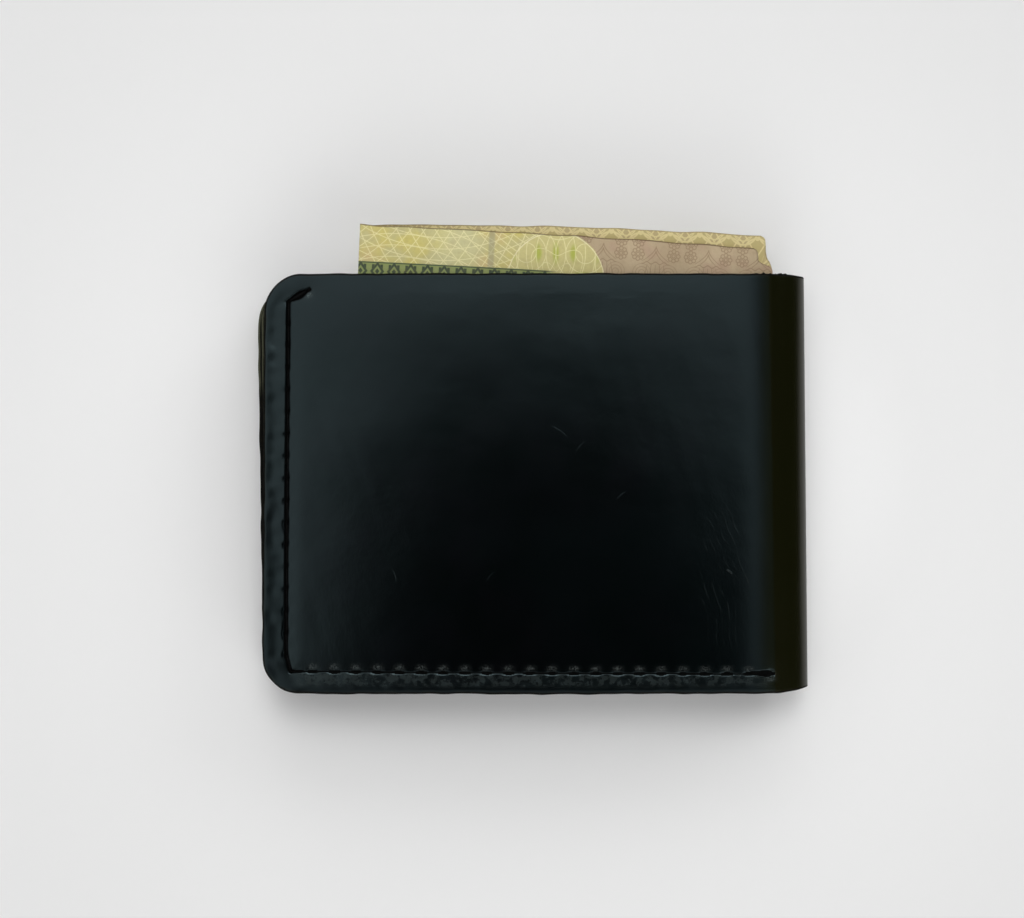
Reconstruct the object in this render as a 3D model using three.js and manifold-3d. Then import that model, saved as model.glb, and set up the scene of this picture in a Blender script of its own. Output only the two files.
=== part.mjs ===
// A black leather bifold wallet, closed and lying on its back cover, with one folded banknote in
// its bill compartment. Millimetres, +Z up. The origin is the middle of the back cover's outer
// face, +X points to the spine and +Y to the open mouth of the bill compartment.
//
// Both halves are built alike, from the outer face inwards: cover, bill compartment, bill wall,
// slip pocket, pocket base and three card pockets. The front half is the same stack turned over.

import * as THREE from "three";
import { mergeVertices } from "three/addons/utils/BufferGeometryUtils.js";
import Module from "manifold-3d";

const wasm = await Module();
wasm.setup();

// Driving dimensions.
const WIDTH = 110; // closed, from the front half's free edge to the outside of the spine
const HEIGHT = 85;
const COVER = 1.7; // outer leather
const BILL_GAP = 1.4; // bill compartment
const WALL = 0.8; // leather between the bills and the cards
const SLIP_GAP = 0.4; // slip pocket behind the card pockets
const BASE = 0.6; // leather that the card pockets are sewn to
const LAYER_GAP = 0.2; // empty card slot
const T_POCKET = 0.6; // upper and middle card pockets
const LOWER_POCKET = 0.65;
const CENTRE_GAP = 0.3; // between the two halves' lower pockets

// Outline of the inner leathers.
const WALL_DROP = 2.2; // how far the bill wall's edge lies below the cover's
const BASE_DROP = 7.5;
const POCKET_PITCH = 10; // step from one pocket mouth to the next
const UPPER_MOUTH_Y = 26.5;
const POCKET_HEIGHT = 46; // of a T-shaped pocket, from mouth to glued foot
const TAB_HEIGHT = 10.6; // of the arms that the side seams catch
const BODY_LEFT_X = -48.4; // sides of a T-shaped pocket below its arms
const BODY_RIGHT_X = 35.9;
const POCKET_RIGHT_X = 40.5; // edge of the pocket stack next to the spine

// Free edges and rounded corners. The back half is a little longer than the front.
const FRONT_EDGE = { top: -54.8, bottom: -55.2 };
const BACK_EDGE = { top: -58.2, bottom: -56.6 };
const TOP_CORNER_R = 7.8;
const BOTTOM_CORNER_R = 7.5;
const INNER_CORNER_R = 1.5;
const CORNER_STEPS = 6;

// Seams.
const EDGE_TO_SEAM = 4.5;
const SEAM_TOP_Y = 37;
const SEAM_CORNER = 2; // how far the seam cuts its bottom corner
const SEAM_BOTTOM_Y = -38;
const SEAM_END = [47, -38.5]; // next to the spine
const FIRST_STITCH = [3.9, 2.1]; // the slanting first stitch reaches inwards and up
const SIDE_STITCHES = 16;
const BOTTOM_STITCHES = 22;
const POCKET_SEAM_X = 37.9;
const POCKET_SEAM_Y = [23.5, -35];
const POCKET_STITCHES = 13;
const HOLE_R = 0.62; // corner radius of a diamond-shaped awl hole
const LEG_R = 0.3; // thread inside the holes
const THREAD_WIDTH = 0.7;
const OUTER_THREAD = 0.45; // thickness of the thread on the cover
const INNER_THREAD = 0.3; // thickness of the thread on the pockets
const THREAD_GAP = 0.1;
const GROOVE_WIDTH = 1.2;
const COVER_GROOVE = OUTER_THREAD + 2 * THREAD_GAP;
const POCKET_GROOVE = 0.45;
const SLIP_THREAD = SLIP_GAP - 2 * THREAD_GAP;

// Spine.
const HALF_THICKNESS =
  COVER + BILL_GAP + WALL + SLIP_GAP + BASE + 3 * LAYER_GAP + 2 * T_POCKET + LOWER_POCKET + CENTRE_GAP / 2;
const SPINE_X = WIDTH / 2 - HALF_THICKNESS; // where the covers start to curve
const SPLIT_ANGLE = Math.PI / 4; // the leather bends at 45 degrees up and down the curve
const SPLIT_GAP = THREE.MathUtils.degToRad(1.1); // half the gap that the split leaves
const ARC_STEPS = 8; // for the spine; each cover has half as many

// Banknote, folded once, leaning a little clockwise.
const NOTE_HEIGHT = 70;
const NOTE_LEAF = 0.25;
const NOTE_FOLD_TOP = [-36, 52.6];
const NOTE_FOLD_LEAN = THREE.MathUtils.degToRad(2.45);
const NOTE_LEAVES = [
  { lean: THREE.MathUtils.degToRad(3.25), length: 82.5 },
  { lean: THREE.MathUtils.degToRad(1.65), length: 83.2 },
];
const NOTE_CLEARANCE = 0.3;
const FOLD_STEPS = 6;
const FOLD_OVERLAP = 0.5;

// Heights inside one half, measured from its outer face.
const LEVEL = {};
LEVEL.wall = COVER + BILL_GAP;
LEVEL.base = LEVEL.wall + WALL + SLIP_GAP;
LEVEL.upper = LEVEL.base + BASE + LAYER_GAP;
LEVEL.middle = LEVEL.upper + T_POCKET + LAYER_GAP;
LEVEL.lower = LEVEL.middle + T_POCKET + LAYER_GAP;

const TOP_Y = HEIGHT / 2;
const BOTTOM_Y = -HEIGHT / 2;
const MIDDLE_MOUTH_Y = UPPER_MOUTH_Y - POCKET_PITCH;
const LOWER_MOUTH_Y = MIDDLE_MOUTH_Y - POCKET_PITCH;
const BEYOND = 20; // how far a cutting shape runs past what it cuts

const leather = new THREE.MeshStandardMaterial({ color: 0x16191b, roughness: 0.42, metalness: 0 });
const pocketLeather = new THREE.MeshStandardMaterial({ color: 0x1a1c1e, roughness: 0.5, metalness: 0 });
const thread = new THREE.MeshStandardMaterial({ color: 0x08090a, roughness: 0.7, metalness: 0 });
const paper = new THREE.MeshStandardMaterial({ color: 0xc9bf8f, roughness: 0.8, metalness: 0 });

const point = (x, y) => new THREE.Vector2(x, y);

// Geometry to solid and back, for the boolean cuts and joins.
function toSolid(geometry) {
  const bare = geometry.clone().deleteAttribute("normal").deleteAttribute("uv");
  const merged = mergeVertices(bare, 1e-4);
  return new wasm.Manifold(
    new wasm.Mesh({
      numProp: 3,
      vertProperties: merged.attributes.position.array,
      triVerts: new Uint32Array(merged.index.array),
    }),
  );
}

function toGeometry(solid) {
  const { vertProperties, triVerts } = solid.getMesh();
  const indexed = new THREE.BufferGeometry()
    .setAttribute("position", new THREE.BufferAttribute(vertProperties, 3))
    .setIndex(new THREE.BufferAttribute(triVerts, 1));
  const flat = indexed.toNonIndexed();
  flat.computeVertexNormals();
  return flat;
}

const joined = (solids) => solids.reduce((whole, piece) => whole.add(piece));

// A flat plate of an outline, between two heights.
function plate(outline, low, high) {
  const shape = new THREE.Shape(outline);
  const geometry = new THREE.ExtrudeGeometry(shape, { depth: high - low, bevelEnabled: false });
  return toSolid(geometry.translate(0, 0, low));
}

// A section in X and Z, drawn out along Y over the wallet's height.
function alongY(section, low = BOTTOM_Y, high = TOP_Y) {
  const shape = new THREE.Shape(section);
  const geometry = new THREE.ExtrudeGeometry(shape, { depth: high - low, bevelEnabled: false });
  return toSolid(geometry.rotateX(Math.PI / 2).translate(0, high, 0));
}

// Points along an arc about a centre.
function arc(centre, radius, from, to, steps) {
  return Array.from({ length: steps + 1 }, (_, i) => {
    const angle = from + ((to - from) * i) / steps;
    return point(centre.x + radius * Math.cos(angle), centre.y + radius * Math.sin(angle));
  });
}

// A polygon whose corners, each [x, y, radius], are rounded where they have a radius.
function roundedOutline(corners) {
  return corners.flatMap(([x, y, radius], i) => {
    const here = point(x, y);
    if (!radius) return [here];
    const [bx, by] = corners.at(i - 1);
    const [ax, ay] = corners[(i + 1) % corners.length];
    const back = point(bx, by).sub(here).normalize();
    const ahead = point(ax, ay).sub(here).normalize();
    const halfAngle = Math.acos(back.dot(ahead)) / 2;
    const bisector = back.clone().add(ahead).normalize();
    const centre = here.clone().addScaledVector(bisector, radius / Math.sin(halfAngle));
    const reach = radius / Math.tan(halfAngle);
    const start = here.clone().addScaledVector(back, reach).sub(centre).angle();
    const end = here.clone().addScaledVector(ahead, reach).sub(centre).angle();
    const turn = Math.atan2(Math.sin(end - start), Math.cos(end - start));
    return arc(centre, radius, start, start + turn, CORNER_STEPS);
  });
}

// The outline of a band of a width along a path, with mitred bends and its ends drawn out.
function band(path, width, extra = 0) {
  const last = path.length - 1;
  const left = [];
  const right = [];
  path.forEach((p, i) => {
    const arriving = i > 0 ? p.clone().sub(path[i - 1]).normalize() : null;
    const leaving = i < last ? path[i + 1].clone().sub(p).normalize() : null;
    const along = (arriving ?? leaving).clone().add(leaving ?? arriving).normalize();
    const across = point(-along.y, along.x);
    const reach = width / 2 / along.dot(leaving ?? arriving);
    const shift = i === 0 ? -extra : i === last ? extra : 0;
    const centre = p.clone().addScaledVector(along, shift);
    left.push(centre.clone().addScaledVector(across, reach));
    right.unshift(centre.clone().addScaledVector(across, -reach));
  });
  return [...left, ...right];
}

// Diamond-shaped prism at a stitch hole.
const diamond = (p, radius, low, high) =>
  plate(arc(p, radius, 0, 2 * Math.PI, 4).slice(0, 4), low, high);

// Stitch holes along a path of corners, with a number of stitches on each stretch.
function stitchHoles(corners, counts) {
  const holes = [corners[0]];
  counts.forEach((count, i) => {
    for (let n = 1; n <= count; n += 1) holes.push(corners[i].clone().lerp(corners[i + 1], n / count));
  });
  return holes;
}

// How high the innermost leather lies at a point of a seam, from the half's outer face.
function surfaceAt(p) {
  const onPockets = p.x < POCKET_RIGHT_X;
  if (onPockets && p.y < LOWER_MOUTH_Y) return LEVEL.lower + LOWER_POCKET;
  if (onPockets && p.y < MIDDLE_MOUTH_Y) return LEVEL.middle + T_POCKET;
  if (onPockets && p.y < UPPER_MOUTH_Y) return LEVEL.upper + T_POCKET;
  if (onPockets && p.y < TOP_Y - BASE_DROP) return LEVEL.base + BASE;
  return LEVEL.wall + WALL;
}

// Where the thread lies on that leather: in the lower pocket's groove, or on the surface.
function innerThreadLow(p) {
  const surface = surfaceAt(p);
  const inGroove = surface === LEVEL.lower + LOWER_POCKET;
  return inGroove ? surface - POCKET_GROOVE + THREAD_GAP : surface + THREAD_GAP;
}

// One seam's thread: a run on the far side, a leg through every hole, and stepped runs inside.
function seamThread(path, holes, farLow, farHigh) {
  const farRun = plate(band(path, THREAD_WIDTH, THREAD_WIDTH / 2), farLow, farHigh);
  const runs = [];
  for (let i = 0; i + 1 < holes.length; i += 1) {
    const low = Math.max(innerThreadLow(holes[i]), innerThreadLow(holes[i + 1]));
    const run = runs.at(-1);
    if (run && run.low === low) run.points.push(holes[i + 1]);
    else runs.push({ low, points: [holes[i], holes[i + 1]] });
  }
  const nearRuns = runs.map(({ low, points }) =>
    plate(band(withoutStraights(points), THREAD_WIDTH, THREAD_WIDTH / 2), low, low + INNER_THREAD),
  );
  const legs = holes.map((hole) => {
    const lows = runs.filter(({ points }) => points.includes(hole)).map(({ low }) => low);
    return diamond(hole, LEG_R, (farLow + farHigh) / 2, Math.max(...lows) + INNER_THREAD / 2);
  });
  return joined([farRun, ...nearRuns, ...legs]);
}

// A path without the points that its neighbours line up with.
function withoutStraights(points) {
  return points.filter((p, i) => {
    if (i === 0 || i === points.length - 1) return true;
    const before = p.clone().sub(points[i - 1]).normalize();
    const after = points[i + 1].clone().sub(p).normalize();
    return before.dot(after) < 0.99999;
  });
}

// The outline of a whole half, rounded at its free corners and running on past the spine.
function halfOutline(edge) {
  return roundedOutline([
    [edge.bottom, BOTTOM_Y, BOTTOM_CORNER_R],
    [WIDTH, BOTTOM_Y, 0],
    [WIDTH, TOP_Y, 0],
    [edge.top, TOP_Y, TOP_CORNER_R],
  ]);
}

// A leather that lies flat over the half and follows the spine's curve as far as the split.
function curvedLeather(low, thickness) {
  const centre = point(SPINE_X, HALF_THICKNESS);
  const from = -Math.PI / 2;
  const to = -SPLIT_ANGLE - SPLIT_GAP;
  const steps = ARC_STEPS / 2;
  return alongY([
    point(-WIDTH, low),
    ...arc(centre, HALF_THICKNESS - low, from, to, steps),
    ...arc(centre, HALF_THICKNESS - low - thickness, to, from, steps),
    point(-WIDTH, low + thickness),
  ]);
}

// The stretch of a leather that turns with the spine.
function spineLeather(low, thickness, top) {
  const centre = point(SPINE_X, HALF_THICKNESS);
  const end = SPLIT_ANGLE - SPLIT_GAP;
  return alongY(
    [
      ...arc(centre, HALF_THICKNESS - low, -end, end, ARC_STEPS),
      ...arc(centre, HALF_THICKNESS - low - thickness, end, -end, ARC_STEPS),
    ],
    BOTTOM_Y,
    top,
  );
}

// A T-shaped card pocket: arms at its mouth for the side seams, and a narrower body.
function tPocket(mouth, low) {
  const foot = mouth - POCKET_HEIGHT;
  const tabFoot = mouth - TAB_HEIGHT;
  return plate(
    roundedOutline([
      [-WIDTH, mouth, 0],
      [-WIDTH, tabFoot, 0],
      [BODY_LEFT_X, tabFoot, 0],
      [BODY_LEFT_X, foot, INNER_CORNER_R],
      [BODY_RIGHT_X, foot, INNER_CORNER_R],
      [BODY_RIGHT_X, tabFoot, 0],
      [POCKET_RIGHT_X, tabFoot, 0],
      [POCKET_RIGHT_X, mouth, 0],
    ]),
    low,
    low + T_POCKET,
  );
}

const rectangle = (left, right, bottom, top) => [
  point(left, bottom),
  point(right, bottom),
  point(right, top),
  point(left, top),
];

// All the leathers and threads of one half, lying on its outer face.
function makeHalf(name, edge) {
  const group = new THREE.Group();
  const outline = plate(halfOutline(edge), -BEYOND, BEYOND);
  const bottomLeft = edge.bottom + EDGE_TO_SEAM;
  const topLeft = edge.top + EDGE_TO_SEAM;
  const coverPath = [
    point(topLeft + FIRST_STITCH[0], SEAM_TOP_Y + FIRST_STITCH[1]),
    point(topLeft, SEAM_TOP_Y),
    point(bottomLeft, SEAM_BOTTOM_Y + SEAM_CORNER),
    point(bottomLeft + SEAM_CORNER, SEAM_BOTTOM_Y),
    point(...SEAM_END),
  ];
  const coverHoles = stitchHoles(coverPath, [1, SIDE_STITCHES, 1, BOTTOM_STITCHES]);
  const pocketPath = POCKET_SEAM_Y.map((y) => point(POCKET_SEAM_X, y));
  const pocketHoles = stitchHoles(pocketPath, [POCKET_STITCHES]);

  const drill = (holes, low) =>
    joined(holes.map((hole) => diamond(hole, HOLE_R, low, HALF_THICKNESS + BEYOND)));
  const coverDrill = drill(coverHoles, -BEYOND);
  const pocketDrill = drill(pocketHoles, LEVEL.wall + WALL);
  const coverGroove = plate(band(coverPath, GROOVE_WIDTH, GROOVE_WIDTH / 2), -BEYOND, COVER_GROOVE);
  const grooveFloor = LEVEL.lower + LOWER_POCKET - POCKET_GROOVE;
  const pocketGrooves = joined(
    [coverPath, pocketPath].map((path) =>
      plate(band(path, GROOVE_WIDTH, GROOVE_WIDTH / 2), grooveFloor, HALF_THICKNESS + BEYOND),
    ),
  );

  const add = (part, solid, material) => {
    const mesh = new THREE.Mesh(toGeometry(solid), material);
    mesh.name = `${name}_${part}`;
    group.add(mesh);
  };
  const below = (top) => plate(rectangle(-WIDTH, WIDTH, BOTTOM_Y - BEYOND, top), -BEYOND, BEYOND);
  const stack = (top, low, thickness) =>
    plate(rectangle(-WIDTH, POCKET_RIGHT_X, BOTTOM_Y, top), low, low + thickness);
  const sewn = (solid) => solid.intersect(outline).subtract(coverDrill).subtract(pocketDrill);

  add("cover", sewn(curvedLeather(0, COVER)).subtract(coverGroove), leather);
  add("bill_wall", sewn(curvedLeather(LEVEL.wall, WALL).intersect(below(TOP_Y - WALL_DROP))), pocketLeather);
  add("pocket_base", sewn(stack(TOP_Y - BASE_DROP, LEVEL.base, BASE)), pocketLeather);
  add("upper_card_pocket", sewn(tPocket(UPPER_MOUTH_Y, LEVEL.upper)), pocketLeather);
  add("middle_card_pocket", sewn(tPocket(MIDDLE_MOUTH_Y, LEVEL.middle)), pocketLeather);
  add(
    "lower_card_pocket",
    sewn(stack(LOWER_MOUTH_Y, LEVEL.lower, LOWER_POCKET)).subtract(pocketGrooves),
    pocketLeather,
  );
  add(
    "seam_thread",
    seamThread(coverPath, coverHoles, THREAD_GAP, THREAD_GAP + OUTER_THREAD),
    thread,
  );
  const slipLow = LEVEL.wall + WALL + THREAD_GAP;
  add("pocket_seam_thread", seamThread(pocketPath, pocketHoles, slipLow, slipLow + SLIP_THREAD), thread);
  return group;
}

// The middle of the wallet's back, between the two fold lines.
function makeSpine() {
  const group = new THREE.Group();
  const cover = new THREE.Mesh(toGeometry(spineLeather(0, COVER, TOP_Y)), leather);
  cover.name = "spine_cover";
  const wall = new THREE.Mesh(
    toGeometry(spineLeather(LEVEL.wall, WALL, TOP_Y - WALL_DROP)),
    pocketLeather,
  );
  wall.name = "spine_bill_wall";
  return group.add(cover, wall);
}

// A banknote folded once at its left, as two leaves joined by a thin bend.
function makeBanknote() {
  const [foldX, foldY] = NOTE_FOLD_TOP;
  const outerLow = COVER + NOTE_CLEARANCE;
  const innerHigh = COVER + BILL_GAP - NOTE_CLEARANCE;
  const lows = [outerLow, innerHigh - NOTE_LEAF];
  const foldFoot = point(
    foldX - NOTE_HEIGHT * Math.sin(NOTE_FOLD_LEAN),
    foldY - NOTE_HEIGHT * Math.cos(NOTE_FOLD_LEAN),
  );
  const leaves = NOTE_LEAVES.map(({ lean, length }, i) => {
    const right = point(foldX + length * Math.cos(lean), foldY - length * Math.sin(lean));
    const rightFoot = point(
      right.x - NOTE_HEIGHT * Math.sin(lean),
      right.y - NOTE_HEIGHT * Math.cos(lean),
    );
    return plate([point(foldX, foldY), foldFoot, rightFoot, right], lows[i], lows[i] + NOTE_LEAF);
  });
  const bendRadius = (innerHigh - outerLow) / 2;
  const middle = point(0, (innerHigh + outerLow) / 2);
  const half = Math.PI / 2;
  const bendSection = [
    point(FOLD_OVERLAP, middle.y + bendRadius),
    ...arc(middle, bendRadius, half, 3 * half, FOLD_STEPS),
    point(FOLD_OVERLAP, middle.y - bendRadius),
    point(FOLD_OVERLAP, middle.y - bendRadius + NOTE_LEAF),
    ...arc(middle, bendRadius - NOTE_LEAF, 3 * half, half, FOLD_STEPS),
    point(FOLD_OVERLAP, middle.y + bendRadius - NOTE_LEAF),
  ];
  const bend = alongY(bendSection, -NOTE_HEIGHT, 0)
    .rotate([0, 0, -THREE.MathUtils.radToDeg(NOTE_FOLD_LEAN)])
    .translate([foldX, foldY, 0]);
  const mesh = new THREE.Mesh(toGeometry(joined([...leaves, bend])), paper);
  mesh.name = "banknote";
  return mesh;
}

const backHalf = makeHalf("back", BACK_EDGE);
const frontHalf = makeHalf("front", FRONT_EDGE);
frontHalf.add(makeBanknote());
frontHalf.scale.z = -1;
frontHalf.position.z = 2 * HALF_THICKNESS;

const wallet = new THREE.Group();
wallet.name = "bifold_wallet";
wallet.add(backHalf, makeSpine(), frontHalf);

export default wallet;
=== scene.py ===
"""A closed black leather bifold wallet with a folded banknote in its bill compartment.

Lengths are in millimetres until a mesh is made. A half of the wallet is described in sheet coordinates:
s runs along the leather from the free edge (and on around the spine), y runs up to the mouth of the bill
compartment, and depth runs inwards from the half's outer face.
"""

from functools import reduce
import math

import bpy
import numpy as np
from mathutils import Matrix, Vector


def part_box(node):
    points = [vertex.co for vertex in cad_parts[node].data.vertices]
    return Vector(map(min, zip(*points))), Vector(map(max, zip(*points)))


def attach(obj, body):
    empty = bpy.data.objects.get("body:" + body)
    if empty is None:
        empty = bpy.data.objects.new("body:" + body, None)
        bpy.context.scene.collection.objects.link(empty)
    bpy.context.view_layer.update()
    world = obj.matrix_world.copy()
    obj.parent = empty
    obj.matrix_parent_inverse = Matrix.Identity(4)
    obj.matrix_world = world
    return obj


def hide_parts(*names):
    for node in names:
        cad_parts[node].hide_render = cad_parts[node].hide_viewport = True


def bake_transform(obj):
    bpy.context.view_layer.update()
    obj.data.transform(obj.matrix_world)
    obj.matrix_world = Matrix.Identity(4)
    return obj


MM = 0.001
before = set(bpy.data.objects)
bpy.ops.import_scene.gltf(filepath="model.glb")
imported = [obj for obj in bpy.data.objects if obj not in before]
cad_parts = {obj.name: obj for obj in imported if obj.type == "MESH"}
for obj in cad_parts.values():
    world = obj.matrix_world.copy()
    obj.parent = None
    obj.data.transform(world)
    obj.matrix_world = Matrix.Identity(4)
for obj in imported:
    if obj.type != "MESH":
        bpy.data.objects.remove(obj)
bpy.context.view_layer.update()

# The wallet, as the CAD has it.
LOW, HIGH = (np.array(corner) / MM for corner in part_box("front_cover"))
THICKNESS = HIGH[2]
RADIUS = THICKNESS / 2  # of the spine's curve
TOP, BOTTOM = HIGH[1], LOW[1]
SPINE_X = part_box("spine_cover")[1][0] / MM - RADIUS  # where the covers start to curve
SPINE_END = SPINE_X + RADIUS * math.pi / 2  # the middle of the spine, along the outer face
BROWN_WEAR_AND_REFLECTION = (47.4, 0.012)  # the cover is worn brown beyond this, a brown that also stands in for a painted warm reflection, and how much earlier for each mm upwards
COVER = 1.7
WALL = 0.8
BASE = 0.6
POCKET = 0.6
WALL_DEPTH = 3.1
BASE_DEPTH = 4.3
WALL_TOP = TOP - 2.2
BASE_TOP = TOP - 7.5
MOUTHS = [26.5, 16.5, 6.5]  # of the card pockets
POCKET_RIGHT = 40.5
BODY_LEFT, BODY_RIGHT = -48.4, 35.9  # sides of a T-shaped pocket below its arms
BODY_FEET = [-19.5, -29.5]
BOTTOM_CORNER = 7.5

# Seams.
EDGE_TO_SEAM = 4.9
SEAM_TOP = 37
SEAM_BOTTOM = -38
SEAM_CORNER = (0.9, 3.4)
SEAM_END = (47, -38.5)
FIRST_STITCH = (3.7, 2.0)
STITCHES = [1, 16, 1, 22]  # slanting first stitch, side, corner, bottom
POCKET_SEAM = [(37.9, 23.5), (37.9, -35)]
POCKET_STITCHES = 13
THREAD_R = 0.27

# top and bottom say where the free edge is, corner is the radius of the top one, inset is how far inside the
# cover the other leathers end, settle and crown are how far it lies lower at the free edge and at its sides
HALVES = {
    "back": dict(front=False, top=-58.2, bottom=-56.8, corner=10.4, inset=0.9, settle=0.3, crown=0, seed=40),
    "front": dict(front=True, top=-55.35, bottom=-55.85, corner=7.8, inset=0.1, settle=0.6, crown=1, seed=7),
}


# Shapes

def smooth(low, high, value):
    """0 before low, 1 after high, and a smooth ramp between them."""
    t = np.clip((value - low) / (high - low), 0, 1)
    return t * t * (3 - 2 * t)


def fade(low, high, value):
    """1 before low, 0 after high."""
    return 1 - smooth(low, high, value)


def bell(value, width):
    return np.exp(-((value / width) ** 2))


def line_axes(x, y, start, end):
    """Distances along and to the left of the line from start to end, and the line's length."""
    length = math.dist(start, end)
    tx, ty = (end[0] - start[0]) / length, (end[1] - start[1]) / length
    x, y = x - start[0], y - start[1]
    return x * tx + y * ty, y * tx - x * ty, length


def waves(a, b, length, seed, count=9):
    """Smooth seeded noise over a plane, of about a wavelength and mostly within -1 to 1."""
    random = np.random.default_rng(seed)
    total = np.zeros(np.broadcast(a, b).shape)
    for _ in range(count):
        turn, phase = random.uniform(0, 2 * math.pi, 2)
        rate = 2 * math.pi / (length * random.uniform(0.7, 1.5))
        total += np.sin(rate * (a * math.cos(turn) + b * math.sin(turn)) + phase)
    return total / math.sqrt(count)


def lines(low, high, step, fine=()):
    """Grid lines from low to high, step apart and closer inside each (from, to, step) of fine, with an even
    number of gaps."""
    places = [low]
    while places[-1] < high:
        closer = [size for start, stop, size in fine if start <= places[-1] < stop]
        places.append(places[-1] + min([step, *closer]))
    if len(places) % 2 == 0:
        places.insert(1, (places[0] + places[1]) / 2)
    places = np.array(places)
    return low + (places - low) * (high - low) / (places[-1] - low)


def settled(half, s):
    """How much lower the sewn free edge lies than the middle."""
    return half["settle"] * np.clip((5 - s) / 60, 0, None) ** 3


def crowned(half, s, y):
    """How much lower the leather lies than the middle of the half, which the cards and pockets fill out."""
    along = 1.3 * ((s + 3) / 52) ** 2
    across = 0.6 * (y / TOP) ** 2
    return half["crown"] * (along + across) * fade(SPINE_X, SPINE_END, s)


def eased(s):
    """How much the leather sinks beyond the card pockets, before it turns round the spine."""
    t = np.clip((s - 39) / 9, 0, None)
    return 0.46 * np.where(t < 1, t**3, 3 * t - 2) * fade(48, SPINE_END, s)


def place(half, s, y, depth):
    """Sheet coordinates of a half, as points of the closed wallet."""
    depth = depth + settled(half, s)
    outer_share = 1 - np.clip((depth - COVER) / (RADIUS - COVER), 0, 1)
    depth = depth + (crowned(half, s, y) + eased(s)) * outer_share
    angle = np.clip((s - SPINE_X) / RADIUS, 0, None)
    reach = RADIUS - depth
    x = np.minimum(s, SPINE_X) + reach * np.sin(angle)
    x = x - 0.4 * y / TOP * smooth(30, SPINE_END, s)
    z = RADIUS - reach * np.cos(angle)
    if half["front"]:
        z = THICKNESS - z
    return np.stack(np.broadcast_arrays(x, y, z), axis=-1)


def corner_centres(left, bottom, top, radii):
    """Each left corner as (which way is out along y, radius, centre of its arc)."""
    for out, edge, radius in ((-1, bottom, radii["bottom"]), (1, top, radii["top"])):
        yield out, radius, left + radius, edge - out * radius


def round_corners(x, y, left, bottom, top, radii):
    """Moves the points of a rectangular grid so that its left corners follow arcs."""
    for out, radius, cx, cy in corner_centres(left, bottom, top, radii):
        a = np.clip((cx - x) / radius, 0, 1)
        b = np.clip(out * (y - cy) / radius, 0, 1)
        corner = (a > 0) & (b > 0)
        x = np.where(corner, cx - radius * a * np.sqrt(1 - b * b / 2), x)
        y = np.where(corner, cy + out * radius * b * np.sqrt(1 - a * a / 2), y)
    return x, y


def edge_distance(x, y, left, bottom, top, radii, right=math.inf):
    distance = np.minimum.reduce([x - left, y - bottom, top - y, np.full_like(x, right) - x])
    for out, radius, cx, cy in corner_centres(left, bottom, top, radii):
        corner = (x < cx) & (out * (y - cy) > 0)
        distance = np.where(corner, radius - np.hypot(x - cx, y - cy), distance)
    return np.clip(distance, 0, None)


def rounding(distance, radius):
    """How far a rounded edge falls away at a distance from the edge."""
    inwards = radius - np.clip(distance, 0, radius)
    return radius - np.sqrt(radius * radius - inwards * inwards)


def left_edge(half, y):
    """The free edge, which leans a little."""
    share = (y - BOTTOM) / (TOP - BOTTOM)
    return half["bottom"] + (half["top"] - half["bottom"]) * share


def lean_left(half, s, y):
    """Shifts a sheet that was drawn with its free edge upright, so that it leans as the half does."""
    return s + (left_edge(half, y) - half["bottom"]) * fade(half["bottom"], -20, s)


# Seams

def seam_corners(half):
    foot = half["bottom"] + EDGE_TO_SEAM
    head = half["top"] + EDGE_TO_SEAM
    return [
        (head + FIRST_STITCH[0], SEAM_TOP + FIRST_STITCH[1]),
        (head, SEAM_TOP),
        (foot, SEAM_BOTTOM + SEAM_CORNER[1]),
        (foot + SEAM_CORNER[0], SEAM_BOTTOM),
        SEAM_END,
    ]


def stitch_holes(corners, counts):
    """Awl holes along a path, with a number of stitches on each of its stretches."""
    holes = [np.array(corners[0], float)]
    for start, end, count in zip(corners, corners[1:], counts):
        for n in range(1, count + 1):
            holes.append(np.array(start) + (np.array(end) - np.array(start)) * n / count)
    return holes


def path_distance(x, y, corners):
    """How far each point is from a path."""
    nearest = np.full(np.broadcast(x, y).shape, np.inf)
    for start, end in zip(corners, corners[1:]):
        along, across, length = line_axes(x, y, start, end)
        beyond = along - np.clip(along, 0, length)
        nearest = np.minimum(nearest, np.hypot(beyond, across))
    return nearest


def twisted(centres, radius, pitch=1.15, sides=10):
    """A two-ply thread along centres, as rings of points in sheet coordinates."""
    ahead = np.gradient(centres, axis=0)
    ahead /= np.linalg.norm(ahead, axis=1)[:, None]
    across = np.cross(ahead, [0.0, 0.0, 1.0])
    across /= np.linalg.norm(across, axis=1)[:, None]
    up = np.cross(across, ahead)
    length = np.concatenate([[0], np.cumsum(np.linalg.norm(np.diff(centres, axis=0), axis=1))])
    turn = np.linspace(0, 2 * math.pi, sides, endpoint=False)
    plies = 1 + 0.2 * np.cos(2 * (turn[None, :] - math.pi * length[:, None] / pitch))
    taper = np.sqrt(np.clip(np.minimum(length, length[-1] - length) / radius, 0.15, 1))
    size = (radius * taper)[:, None] * plies
    return (
        centres[:, None, :]
        + (size * np.cos(turn))[..., None] * across[:, None, :]
        + (size * np.sin(turn) * 0.85)[..., None] * up[:, None, :]
    )


def stitch_centres(start, end, lie, dive=0.75, steps=22):
    """The line of one stitch, from deep in one hole, over the leather, and into the next."""
    t = np.linspace(0, 1, steps)
    sunk = np.abs(2 * t - 1) ** 7
    flat = np.array(start)[None, :] + (np.array(end) - np.array(start))[None, :] * t[:, None]
    return np.column_stack([flat, lie(flat[:, 0], flat[:, 1]) + dive * sunk])


# Depths of the layers of a half

def sewn(half, s, y):
    """1 where the free edge and the bottom are sewn shut, 0 where the layers are free."""
    side = fade(5.5, 18, s - left_edge(half, y))
    foot = fade(4.5, 11.5, y - BOTTOM) * fade(46, 54, s)
    return np.maximum(side, foot)


def wall_depth(half, s, y):
    free = WALL_DEPTH - settled(half, s)
    return free + (COVER + 0.02 - free) * sewn(half, s, y)


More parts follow.
